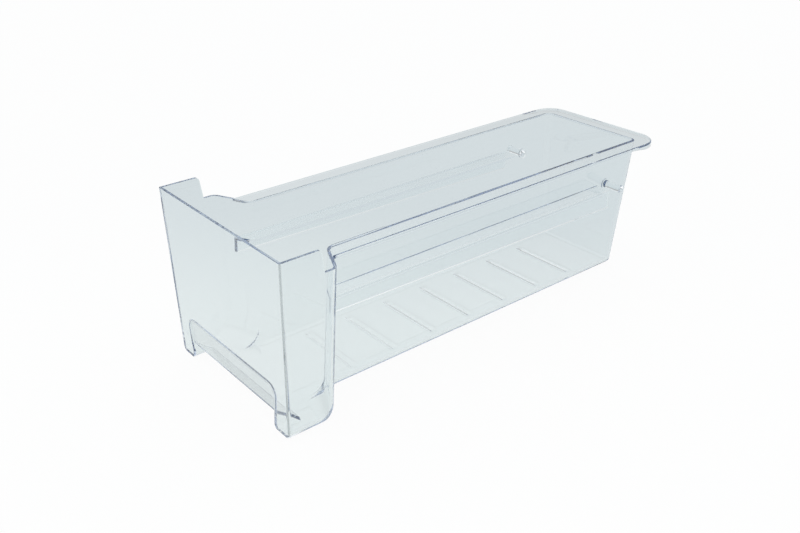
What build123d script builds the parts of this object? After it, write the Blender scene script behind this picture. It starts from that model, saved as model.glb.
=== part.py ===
from build123d import *
import os
from math import radians, sin, tan

# A freezer drawer moulded in one piece: a wide front with two side returns, a narrow tub behind it,
# a rim and a runner ledge on each side to hang and slide on, two rear pegs and a finger pull under the front.
# Millimetres, +Z up. Drawn with the front face at y = 0, then centred on its length.

# Front panel and the side returns that start at it
FRONT_TOP_WIDTH = 175.0
FRONT_BOTTOM_WIDTH = 162.5
FRONT_HEIGHT = 147.0
FRONT_EDGE = 1.8
FRONT_EDGE_INSIDE = 1.0
RETURN_TOP_LENGTH = 34.0
RETURN_FOOT_LENGTH = 36.0
RETURN_CORNER = 3.5

# Tub behind the front
WALL = 2.4
RIM_HEIGHT = 128.5
TUB_BOTTOM_WIDTH = 92.0
TUB_TOP_WIDTH = 112.0
TUB_BOTTOM_END = 406.0
TUB_TOP_END = 413.5
TUB_CORNER = 7.5
BOTTOM_EDGE = 5.0

# Slanted jog that joins a side return to the tub wall, and the round under it
JOG_BOTTOM = 40.5
JOG_TOP = 46.5
JOG_SLOPE = 0.485
JOG_OUTER_BEND = 7.0
JOG_INNER_BEND_BOTTOM = 1.0
JOG_INNER_BEND_TOP = 7.0
FOOT_BEND = 17.0
FOOT_CLEAR = 2.0

# Rim along both sides and the rear, with a lip that hangs at the rear and fades out on the sides
RIM_WIDTH = 139.0
RIM_END = 430.0
RIM_CORNER = 21.0
RIM_SOFT = 1.2
REAR_LIP = 5.0
REAR_LIP_RUN = 40.0

# Runner ledge on each side, with a hanging lip that deepens to the rear
LEDGE_HEIGHT = 95.0
LEDGE_WIDTH = 136.0
LEDGE_END = 362.0
LEDGE_LIP_FRONT = 12.8
LEDGE_LIP_REAR = 17.3

# Rear pegs, each on a low round seat that is square to it on the drafted wall
PEG_Y = 374.0
PEG_HEIGHT = 94.0
PEG_RADIUS = 3.5
PEG_SPAN = 145.0
PEG_ROUND = 1.2
PEG_SEAT_RADIUS = 5.0
PEG_SEAT_STEP = 0.3

# Finger pull between the two front feet: the front steps back, then runs under to the floor
PULL_TOP = 38.5
PULL_TOP_WIDTH = 133.0
PULL_BOTTOM_WIDTH = 123.0
PULL_STEP = 1.4
PULL_EDGE = 15.0
PULL_DEPTH = 20.0
PULL_CORNER = 9.0
PULL_BEND = 4.0
PULL_FOOT = 6.0
PULL_SOFT = 0.8
PULL_CLEAR = 0.3

# Cross ribs on the floor
RIB_FIRST = 94.5
RIB_PITCH = 43.2
RIB_COUNT = 7
RIB_LENGTH = 68.0
RIB_WIDTH = 8.0
RIB_RISE = 0.8
RIB_FADE = 5.0

# Past every face of the drawer, for cutting shapes
REACH = 600.0


def at_height(bottom, top, full, z):
    """A size that changes straight from bottom at z = 0 to top at z = full."""
    return bottom + (top - bottom) * z / full


def front_half(z):
    return at_height(FRONT_BOTTOM_WIDTH, FRONT_TOP_WIDTH, FRONT_HEIGHT, z) / 2


def tub_half(z):
    return at_height(TUB_BOTTOM_WIDTH, TUB_TOP_WIDTH, RIM_HEIGHT, z) / 2


def tub_end(z):
    return at_height(TUB_BOTTOM_END, TUB_TOP_END, RIM_HEIGHT, z)


def jog_start(z):
    return at_height(JOG_BOTTOM, JOG_TOP, RIM_HEIGHT, z)


def moved_line(p, q, inset):
    """The line through p and q, moved to its left by inset, as a point and a direction."""
    along = (q - p).normalized()
    return p + Vector(-along.Y, along.X) * inset, along


def meet(first, second):
    """The point where two lines cross in plan."""
    (p, d), (q, e) = first, second
    return p + d * (((q.X - p.X) * e.Y - (q.Y - p.Y) * e.X) / (d.X * e.Y - d.Y * e.X))


def plan(z, inset):
    """The outline in plan at height z, moved inward by inset, with all but the front corners rounded."""
    tub_start = jog_start(z) + JOG_SLOPE * (front_half(z) - tub_half(z))
    right = [
        Vector(front_half(z), 0),
        Vector(front_half(z), jog_start(z)),
        Vector(tub_half(z), tub_start),
        Vector(tub_half(z), tub_end(z)),
    ]
    points = right + [Vector(-p.X, p.Y) for p in reversed(right)]
    count = len(points)
    lines = [moved_line(points[i - 1], points[i], inset) for i in range(count)]
    corners = [meet(lines[i], lines[(i + 1) % count]) for i in range(count)]
    jog_inner_bend = at_height(JOG_INNER_BEND_BOTTOM, JOG_INNER_BEND_TOP + inset, RIM_HEIGHT, z)
    bends = [0, JOG_OUTER_BEND - inset, jog_inner_bend, TUB_CORNER - inset]
    bends += reversed(bends)
    edges, ends = [], []
    for i, corner in enumerate(corners):
        before = (corners[i - 1] - corner).normalized()
        after = (corners[(i + 1) % count] - corner).normalized()
        half = radians(before.get_angle(after) / 2)
        reach = bends[i] / tan(half)
        ends.append((corner + before * reach, corner + after * reach))
        if bends[i]:
            middle = corner + (before + after).normalized() * (bends[i] / sin(half) - bends[i])
            edges.append(ThreePointArc(ends[i][0], middle, ends[i][1]))
    edges += [Line(ends[i - 1][1], ends[i][0]) for i in range(count)]
    return Pos(0, 0, z) * make_face(edges)


def across(points):
    """A shape drawn as (y, z) points and carried across the whole width."""
    return extrude(make_face(Plane.YZ * Polyline(*points, close=True)), REACH, both=True)


def mirrored(shape):
    """The shape and its twin on the other side."""
    return shape + mirror(shape, about=Plane.YZ)


def foot_round(inset):
    """What is cut away under both jogs to round them into the floor, outside the tub's own walls."""
    out = Vector(JOG_SLOPE, 1).normalized()
    start = Vector(front_half(FOOT_BEND), jog_start(FOOT_BEND))
    side = Plane(origin=start, x_dir=out, z_dir=Vector(out.Y, -out.X))
    middle = Pos(-FOOT_BEND, FOOT_BEND)
    corner = middle * Rectangle(FOOT_BEND - inset, 3 * FOOT_BEND, align=(Align.MIN, Align.MAX))
    under = extrude(side * (corner - middle * Circle(FOOT_BEND - inset)), FRONT_TOP_WIDTH, both=True)
    levels = (-FRONT_HEIGHT, FRONT_HEIGHT)
    slices = [Pos(0, 0, z) * Rectangle(2 * (tub_half(z) - inset + FOOT_CLEAR), REACH) for z in levels]
    tub = loft(slices, ruled=True)
    return mirrored((under & Pos(REACH / 2, 0, 0) * Box(REACH, REACH, REACH)) - tub)


def pull_room(inset):
    """The room under the front that the finger pull takes up, or, with inset, that room and its wall."""
    ends = [
        (PULL_TOP_WIDTH / 2 + inset, PULL_TOP + inset),
        (PULL_BOTTOM_WIDTH / 2 + inset, inset - PULL_CLEAR),
        (FRONT_TOP_WIDTH, inset - PULL_CLEAR),
        (FRONT_TOP_WIDTH, -REACH),
    ]
    face = make_face(Plane.XZ * Polyline(*ends, *[(-x, z) for x, z in reversed(ends)], close=True))
    feet = face.vertices().group_by(Axis.Z)[1].sort_by(lambda vertex: abs(vertex.X))[:2]
    face = fillet(feet, PULL_FOOT - inset)
    face = fillet(face.vertices().group_by(Axis.Z)[-1], PULL_CORNER + inset)
    slope = PULL_EDGE / (PULL_DEPTH - PULL_STEP)
    rise = inset * (1 + slope**2) ** 0.5
    profile = [
        (-WALL, PULL_TOP + inset),
        (PULL_STEP + inset, PULL_TOP + inset),
        (PULL_STEP + inset, PULL_EDGE + rise - slope * inset),
        (PULL_STEP + (PULL_EDGE + rise + WALL) / slope, -WALL),
        (-WALL, -WALL),
    ]
    section = make_face(Plane.YZ * Polyline(*profile, close=True))
    section = fillet(section.vertices().sort_by_distance((0, *profile[2]))[0], PULL_BEND - inset)
    pull = extrude(face, REACH, both=True) & extrude(section, REACH, both=True)
    back = ShapeList(f for f in pull.faces() if abs(f.normal_at().X) < 0.001 and f.normal_at().Y > 0.1)
    border = back.edges().filter_by(Axis.X, reverse=True)
    border.append(back.edges().filter_by(Axis.X).sort_by(Axis.Z)[-1])
    return fillet(border, PULL_SOFT + inset)


def body(bottom, inset):
    """The solid inside the outline, from bottom to the front's top edge, round where it meets the floor."""
    block = loft([plan(bottom, inset), plan(FRONT_HEIGHT, inset)], ruled=True)
    block = fillet(block.edges().group_by(Axis.Z)[0].sort_by(Axis.Y)[1:], BOTTOM_EDGE - inset)
    front = block.faces().sort_by(Axis.Y)[0]
    block = fillet(front.edges().sort_by(Axis.Z)[:-1], at_height(FRONT_EDGE, FRONT_EDGE_INSIDE, WALL, inset))
    return block - foot_round(inset) - pull_room(inset)


# Shell: the outline's solid less the room inside it, cut down to the rim behind the side returns
room = body(WALL, WALL)
return_end = [
    (RETURN_FOOT_LENGTH, RIM_HEIGHT),
    (at_height(RETURN_FOOT_LENGTH, RETURN_TOP_LENGTH, FRONT_HEIGHT - RIM_HEIGHT, REACH), RIM_HEIGHT + REACH),
    (REACH, RIM_HEIGHT + REACH),
    (REACH, RIM_HEIGHT),
]
above_rim = across(return_end)
shell = body(0, 0) - room - above_rim
return_ends = shell.edges().filter_by(Axis.X).group_by(Axis.Z)[-1].group_by(Axis.Y)[-1]
shell = fillet(return_ends, RETURN_CORNER)

# Rim plate and the lip under its rear
rim_start = JOG_TOP
rim_face = Pos(0, rim_start) * Rectangle(RIM_WIDTH, RIM_END - rim_start, align=(Align.CENTER, Align.MIN))
rim_face = fillet(rim_face.vertices().group_by(Axis.Y)[-1], RIM_CORNER)
rim = Pos(0, 0, RIM_HEIGHT - WALL) * extrude(rim_face, WALL)
rim = fillet(rim.edges().group_by(Axis.Z)[-1].sort_by(Axis.Y)[1:], RIM_SOFT)
lip_low = RIM_HEIGHT - REAR_LIP
lip_start = RIM_END - RIM_CORNER
lip = Pos(0, 0, lip_low) * extrude(rim_face - offset(rim_face, -WALL), REAR_LIP - RIM_SOFT)
lip &= across([
    (lip_start - REAR_LIP_RUN, RIM_HEIGHT),
    (lip_start, lip_low),
    (REACH, lip_low),
    (REACH, RIM_HEIGHT),
])

# Runner ledges
ledge_out = LEDGE_WIDTH / 2
ledge = Pos(0, rim_start, LEDGE_HEIGHT) * Box(
    ledge_out, LEDGE_END - rim_start, WALL, align=(Align.MIN, Align.MIN, Align.MAX)
)
hang = across([
    (rim_start, LEDGE_HEIGHT),
    (rim_start, LEDGE_HEIGHT - LEDGE_LIP_FRONT),
    (LEDGE_END, LEDGE_HEIGHT - LEDGE_LIP_REAR),
    (LEDGE_END, LEDGE_HEIGHT),
])
hang_plate = Box(WALL, REACH * 2, REACH, align=(Align.MAX, Align.CENTER, Align.CENTER))
ledge += hang & Pos(ledge_out, 0, 0) * hang_plate

# Rear pegs
peg_place = Pos(0, PEG_Y, PEG_HEIGHT) * Rot(0, 90, 0)
up = (Align.CENTER, Align.CENTER, Align.MIN)
peg = Cylinder(PEG_RADIUS, PEG_SPAN / 2, align=up)
peg = fillet(peg.edges().group_by(Axis.Z)[-1], PEG_ROUND)
peg += Cylinder(PEG_SEAT_RADIUS, tub_half(PEG_HEIGHT + PEG_SEAT_RADIUS) + PEG_SEAT_STEP, align=up)
peg = peg_place * peg

# Floor ribs, each a low arc in section that fades out at both ends
rib_radius = (RIB_WIDTH**2 / 4 + RIB_RISE**2) / (2 * RIB_RISE)
rib = Pos(0, 0, WALL + RIB_RISE - rib_radius) * Rot(0, 90, 0) * Cylinder(rib_radius, RIB_LENGTH)
rib_side = [(RIB_LENGTH / 2, WALL / 2), (RIB_LENGTH / 2, WALL), (RIB_LENGTH / 2 - RIB_FADE, WALL + RIB_RISE)]
rib_side += [(-x, z) for x, z in reversed(rib_side)]
rib &= extrude(make_face(Plane.XZ * Polyline(*rib_side, close=True)), RIB_WIDTH, both=True)
ribs = Part() + [Pos(0, RIB_FIRST + n * RIB_PITCH, 0) * rib for n in range(RIB_COUNT)]

drawer = shell + (rim + lip + mirrored(ledge) + mirrored(peg) - room) + ribs
drawer = Pos(0, -RIM_END / 2, 0) * drawer

os.makedirs("parts", exist_ok=True)
export_step(drawer, "parts/drawer.step")
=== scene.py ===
# %% [markdown]
# # A clear freezer drawer
# The drawer is one injection-moulded piece of clear polystyrene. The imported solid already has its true
# form, down to the ribs, rounds and edges, so this lesson is about the finish: how thin clear plastic
# gets its pale faces and its darker, bluer edges. The solid is loaded as a fixed frame and never moved.

# %% Load the frame
from math import cos, radians, sin

import bpy
import numpy as np
from mathutils import Matrix, Vector


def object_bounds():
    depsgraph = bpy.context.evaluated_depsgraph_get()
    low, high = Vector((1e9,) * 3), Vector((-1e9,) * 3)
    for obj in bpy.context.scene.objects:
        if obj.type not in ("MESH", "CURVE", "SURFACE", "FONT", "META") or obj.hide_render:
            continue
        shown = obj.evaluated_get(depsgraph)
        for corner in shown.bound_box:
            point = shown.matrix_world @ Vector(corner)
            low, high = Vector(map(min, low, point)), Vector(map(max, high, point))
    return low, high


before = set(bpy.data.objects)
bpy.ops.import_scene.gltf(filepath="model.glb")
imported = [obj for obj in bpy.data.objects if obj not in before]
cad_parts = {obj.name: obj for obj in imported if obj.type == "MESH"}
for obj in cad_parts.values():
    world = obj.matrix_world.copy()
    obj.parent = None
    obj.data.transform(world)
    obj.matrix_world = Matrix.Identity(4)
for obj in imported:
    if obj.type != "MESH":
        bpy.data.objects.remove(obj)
cad_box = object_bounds()
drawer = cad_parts["drawer"]
print("drawer", len(drawer.data.polygons), "triangles, box", cad_box)

# %% [markdown]
# ## Camera
# The photograph looks down on the drawer from its front right corner. Place, aim, roll and lens were
# worked out from the drawer's own edges, so the same edges fall on the same pixels here. A camera could
# be aimed by hand, but only a fitted one shows whether the proportions are right.

# %% Camera
CAMERA_PLACE = (0.5523, -0.4878, 0.4194)
CAMERA_TURN = radians(51.195)
CAMERA_DIP = radians(27.273)
CAMERA_ROLL = radians(-0.788)
FOCAL_PIXELS = 920.2
FRAME_PIXELS = 800
SENSOR_WIDTH = 36.0

camera_data = bpy.data.cameras.new("photo_camera")
camera_data.sensor_width = SENSOR_WIDTH
camera_data.lens = FOCAL_PIXELS / FRAME_PIXELS * SENSOR_WIDTH
camera_data.clip_start = 0.01
camera_data.clip_end = 50.0
ahead = Vector((-sin(CAMERA_TURN) * cos(CAMERA_DIP), cos(CAMERA_TURN) * cos(CAMERA_DIP), -sin(CAMERA_DIP)))
level = Vector((cos(CAMERA_TURN), sin(CAMERA_TURN), 0.0))
upward = level.cross(ahead)
right = level * cos(CAMERA_ROLL) + upward * sin(CAMERA_ROLL)
top = upward * cos(CAMERA_ROLL) - level * sin(CAMERA_ROLL)
camera = bpy.data.objects.new("photo_camera", camera_data)
camera.matrix_world = Matrix.Translation(CAMERA_PLACE) @ Matrix((right, top, -ahead)).transposed().to_4x4()
bpy.context.scene.collection.objects.link(camera)
bpy.context.scene.camera = camera
print("lens", round(camera_data.lens, 2), "mm")

# %% [markdown]
# ## Writing shader maths
# Node trees read better as formulas. `Wire` wraps an output socket, and its operators add Math nodes.
# Every other node comes from `Finish.node`, which takes the node's type, its settings and its inputs.
# Two forms come up again and again, a smooth step and a mix of two colours, so each has a short name.


# %% Shader helpers
class Wire:
    """An output socket that can be used in a formula."""

    def __init__(self, finish, socket):
        self.finish, self.socket = finish, socket

    def maths(self, operation, *terms):
        return self.finish.node("ShaderNodeMath", {"operation": operation}, dict(enumerate(terms)))

    def __add__(self, other):
        return self.maths("ADD", self, other)

    def __sub__(self, other):
        return self.maths("SUBTRACT", self, other)

    def __rsub__(self, other):
        return self.maths("SUBTRACT", other, self)

    def __mul__(self, other):
        return self.maths("MULTIPLY", self, other)

    def __abs__(self):
        return self.maths("ABSOLUTE", self)

    def __lt__(self, other):
        return self.maths("LESS_THAN", self, other)

    def __gt__(self, other):
        return self.maths("GREATER_THAN", self, other)

    __radd__, __rmul__ = __add__, __mul__


class Finish:
    """A node tree, written from its first nodes to its output."""

    def __init__(self, tree):
        self.tree = tree
        tree.nodes.clear()

    def node(self, kind, settings=None, inputs=None, out=0):
        """A node of this kind, with its settings made first; gives the output named or numbered out."""
        made = self.tree.nodes.new(kind)
        for name, value in (settings or {}).items():
            setattr(made, name, value)
        for name, value in (inputs or {}).items():
            if isinstance(value, Wire):
                self.tree.links.new(value.socket, made.inputs[name])
            else:
                made.inputs[name].default_value = value
        return Wire(self, made.outputs[out]) if made.outputs else None

    def step(self, value, start, end, low, high):
        """A smooth step: low up to start, high from end on."""
        span = {"Value": value, "From Min": start, "From Max": end, "To Min": low, "To Max": high}
        return self.node("ShaderNodeMapRange", {"interpolation_type": "SMOOTHSTEP"}, span)

    def mix(self, share, first, second):
        """A colour that is first at share 0 and second at share 1."""
        colours = {"Factor": share, 6: first, 7: second}
        return self.node("ShaderNodeMix", {"data_type": "RGBA"}, colours, out=2)


def new_finish(name):
    material = bpy.data.materials.new(name)
    material.use_nodes = True
    return material, Finish(material.node_tree)


print("helpers", Wire.__name__, Finish.__name__)

# %% [markdown]
# ## Where a point lies
# The drawer's finish changes a little from place to place, so it starts from where a point lies: how far
# aside of the middle, how far along and how high, in metres. A UV map could carry such places too, but
# Object coordinates give them without unwrapping the solid.

# %% Where a point lies
clear, plastic = new_finish("clear_polystyrene")
place = plastic.node("ShaderNodeTexCoord", out="Object")
aside = abs(plastic.node("ShaderNodeSeparateXYZ", None, {"Vector": place}, out="X"))
along = plastic.node("ShaderNodeSeparateXYZ", None, {"Vector": place}, out="Y")
height = plastic.node("ShaderNodeSeparateXYZ", None, {"Vector": place}, out="Z")
print("place nodes", len(clear.node_tree.nodes))

# %% [markdown]
# ## Edge lines of painted shade
# Two edges of the real drawer read as thin dark lines: the front's upright corners and the rim's inner
# edge. A sharp bend in a clear sheet throws light aside, more than this smooth solid does, so a mask marks
# both edges and a dark tint is painted there as shade. The lines could be painted on a picture, but a mask
# worked out from the drawer's own sizes, in metres, stays sharp at any distance.

# %% Edge lines of painted shade
FRONT_LEAN = 0.0425
CORNER_LINE_INNER, CORNER_LINE_OUTER = 0.0011, 0.0016
RIM_TOP = 0.1285
INNER_HALF = 0.0536
WALL_LEAN = 0.0778
RIM_LINE_START, RIM_LINE_END = -0.15, 0.19
RIM_LINE_INNER, RIM_LINE_OUTER = 0.0003, 0.0011

low_corner, high_corner = cad_box
from_side = high_corner[0] - FRONT_LEAN * (high_corner[2] - height) - aside
from_front = along - low_corner[1]
corner_shade_line = plastic.step(from_side + from_front, CORNER_LINE_INNER, CORNER_LINE_OUTER, 1.0, 0.0)
below_rim = RIM_TOP - height
from_wall = aside - INNER_HALF + WALL_LEAN * below_rim
off_rim = abs(from_wall) + abs(below_rim)
beside_tub = (along > RIM_LINE_START) * (along < RIM_LINE_END)
rim_shade_line = plastic.step(off_rim, RIM_LINE_INNER, RIM_LINE_OUTER, 1.0, 0.0) * beside_tub
print("edge line nodes", len(clear.node_tree.nodes))

# %% [markdown]
# ## Painted shade on the strip over the finger pull
# Between its feet the front steps back in a shallow strip, and under that it slopes away as a finger pull.
# The strip looks a little greyer than the rest of the front, and that grey is painted shade. It could be a
# material of its own, but the drawer is one piece of one plastic, so a third mask marks the strip, with a
# soft border, and a grey tint is painted there as shade.

# %% Painted shade on the strip over the finger pull
PULL_TOP = 0.0385
PULL_HALF_LOW = 0.0615
PULL_LEAN = 0.13
PULL_REACH = 0.0045
PULL_BORDER = 0.002

below_top = plastic.step(PULL_TOP - height, 0.0, PULL_BORDER, 0.0, 1.0)
between_feet = plastic.step(PULL_HALF_LOW + PULL_LEAN * height - aside, 0.0, PULL_BORDER, 0.0, 1.0)
# Painted shade: this mask greys the strip over the finger pull.
pull_strip_shade = below_top * between_feet * (from_front < PULL_REACH)
print("mask nodes", len(clear.node_tree.nodes))

# %% [markdown]
# ## Clear polystyrene
# Clear plastic has almost no colour of its own. What shows is what lies behind it, dimmed a little by
# every wall. Light that enters at an edge travels a long way inside the sheet, so edges look dark and
# blue. A see-through mix of colours would miss that, so a true refracting shader is used, with
# absorption inside the solid. A fine haze breaks the gloss, and a slow bump stands for the slight
# waviness of a moulded sheet.

# %% Clear polystyrene
SHEET_TINT = (0.96, 0.978, 0.982, 1.0)
# Painted shade: the dark colour that the edge lines and the pull strip are given.
EDGE_PAINTED_SHADE = (0.4, 0.43, 0.44, 1.0)
INSIDE_TINT = (0.61, 0.68, 0.78, 1.0)
RIM_SHADE_SHARE = 0.4
STRIP_SHADE_SHARE = 0.15
CLEAR_ROUGHNESS = 0.002
HAZE_ROUGHNESS = 0.01

wave = plastic.node("ShaderNodeTexNoise", None, {"Vector": place, "Scale": 22.0, "Detail": 1.0})
haze = plastic.node("ShaderNodeTexNoise", None, {"Vector": place, "Scale": 60.0, "Detail": 4.0})
# Painted shade: the base colour darkens on the two edge lines and, less, on the strip over the finger pull.
painted_shade_share = corner_shade_line + RIM_SHADE_SHARE * rim_shade_line + STRIP_SHADE_SHARE * pull_strip_shade
surface = plastic.node(
    "ShaderNodeBsdfPrincipled",
    None,
    {
        "Base Color": plastic.mix(painted_shade_share, SHEET_TINT, EDGE_PAINTED_SHADE),
        "Roughness": CLEAR_ROUGHNESS + HAZE_ROUGHNESS * haze,
        "IOR": 1.49,
        "Transmission Weight": 1.0,
        "Normal": plastic.node("ShaderNodeBump", None, {"Strength": 0.06, "Distance": 0.002, "Height": wave}),
    },
)
inside = plastic.node("ShaderNodeVolumeAbsorption", None, {"Color": INSIDE_TINT, "Density": 10.0})
plastic.node("ShaderNodeOutputMaterial", None, {"Surface": surface, "Volume": inside})
for slot in drawer.material_slots:
    slot.material = clear
print("clear polystyrene on", len(drawer.material_slots), "slot")

# %% [markdown]
# ## Floor
# The drawer stands on a wide plain floor. A single plane from Blender's menu would do, but a small grid of
# points shows how a mesh is filled from arrays. It lies half a millimetre low, so that it never shares a
# plane with the drawer's underside.

# %% Floor
FLOOR_HALF = 6.0
FLOOR_HEIGHT = -0.0005
FLOOR_POINTS = 3

steps = np.linspace(-FLOOR_HALF, FLOOR_HALF, FLOOR_POINTS)
floor_x, floor_y = np.meshgrid(steps, steps)
points = np.stack([floor_x.ravel(), floor_y.ravel(), np.full(floor_x.size, FLOOR_HEIGHT)], axis=1)
cells = np.arange(FLOOR_POINTS - 1)
first = (cells[:, None] * FLOOR_POINTS + cells).ravel()
faces = np.stack([first, first + 1, first + 1 + FLOOR_POINTS, first + FLOOR_POINTS], axis=1)
floor_mesh = bpy.data.meshes.new("floor")
floor_mesh.from_pydata(points.tolist(), [], faces.tolist())
floor = bpy.data.objects.new("floor", floor_mesh)
bpy.context.scene.collection.objects.link(floor)
print("floor", len(faces), "faces")

# %% [markdown]
# ## Floor paint and painted shade
# Seen directly or in a reflection, the floor is nearly plain white and keeps a trace of the shadow.
# Through the plastic it shows a greyer, shaded copy of its paint, painted shade that is darker towards
# the back. That even, cool tone is what the clear walls take on. One white paint would leave the walls
# too bright, so Light Path tells the three kinds of view apart.

# %% Floor paint and painted shade
# Painted shade: the greyer floor colours that show through the plastic, near and towards the back.
NEAR_SHADED_PAINT = (0.81, 0.86, 0.856, 1.0)
BACK_SHADED_PAINT = (0.68, 0.732, 0.752, 1.0)
TO_BACK = (-0.78, 0.63, 0.0)
FADE_START, FADE_END = -0.08, 0.25
WHITE = (1.0, 1.0, 1.0, 1.0)
SEEN_WHITE = 0.95
MIRRORED_WHITE = 0.9
THROUGH_EVEN = 0.9

white_floor, ground = new_finish("white_floor")
seen = ground.node("ShaderNodeLightPath", out="Is Camera Ray")
mirrored = ground.node("ShaderNodeLightPath", out="Is Glossy Ray")
through = ground.node("ShaderNodeLightPath", out="Is Transmission Ray")
spot = ground.node("ShaderNodeTexCoord", out="Object")
away = ground.node("ShaderNodeVectorMath", {"operation": "DOT_PRODUCT"}, {0: spot, 1: TO_BACK}, out="Value")
# Painted shade: the floor tone darkens towards the back, and this greyer tone is what shows through the
# plastic.
shaded_tone = ground.mix(ground.step(away, FADE_START, FADE_END, 0.0, 1.0), NEAR_SHADED_PAINT, BACK_SHADED_PAINT)
matt = {"Base Color": shaded_tone, "Roughness": 1.0, "Specular IOR Level": 0.0}
paint = ground.node("ShaderNodeBsdfPrincipled", None, matt)
even_paint = ground.node("ShaderNodeEmission", None, {"Color": shaded_tone, "Strength": 1.0})
even_white = ground.node("ShaderNodeEmission", None, {"Color": WHITE, "Strength": 1.0})
behind = ground.node("ShaderNodeMixShader", None, {0: THROUGH_EVEN * through, 1: paint, 2: even_paint})
white_share = SEEN_WHITE * seen + MIRRORED_WHITE * mirrored * (1.0 - through)
lit = ground.node("ShaderNodeMixShader", None, {0: white_share, 1: behind, 2: even_white})
ground.node("ShaderNodeOutputMaterial", None, {"Surface": lit})
floor_mesh.materials.append(white_floor)
print("floor paint nodes", len(white_floor.node_tree.nodes))

# %% [markdown]
# ## Light
# A wide soft sky lights the drawer at a plain level. It is brighter overhead and dimmer low down, as in a
# studio with a large lamp above, and the dim part gives clear edges something darker to pick up. Small
# lamps would leave hard bright spots on gloss. The camera itself sees the sky as plain white.

# %% Light
SKY_START, SKY_END = 0.1, 0.6
SKY_LOW, SKY_HIGH = 0.4, 1.1

world = bpy.data.worlds.new("studio")
bpy.context.scene.world = world
world.use_nodes = True
studio = Finish(world.node_tree)
heading = studio.node("ShaderNodeTexCoord", out="Generated")
climb = studio.node("ShaderNodeSeparateXYZ", None, {"Vector": heading}, out="Z")
sky_level = studio.step(climb, SKY_START, SKY_END, SKY_LOW, SKY_HIGH)
direct = studio.node("ShaderNodeLightPath", out="Is Camera Ray")
strength = sky_level + direct * (1.0 - sky_level)
sky = studio.node("ShaderNodeBackground", None, {"Color": WHITE, "Strength": strength})
studio.node("ShaderNodeOutputWorld", None, {"Surface": sky})
bpy.context.scene.view_settings.view_transform = "Standard"
print("sky nodes", len(world.node_tree.nodes))

# %% [markdown]
# ## Light turns
# Light inside a clear sheet turns back many times before it leaves at an edge. With too few turns the
# edges would go black instead of blue, so many of them are followed here.

# %% Light turns
LIGHT_TURNS = 256

light_paths = bpy.context.scene.cycles
light_paths.max_bounces = LIGHT_TURNS
light_paths.transmission_bounces = LIGHT_TURNS
light_paths.glossy_bounces = LIGHT_TURNS
print("light turns", light_paths.max_bounces)
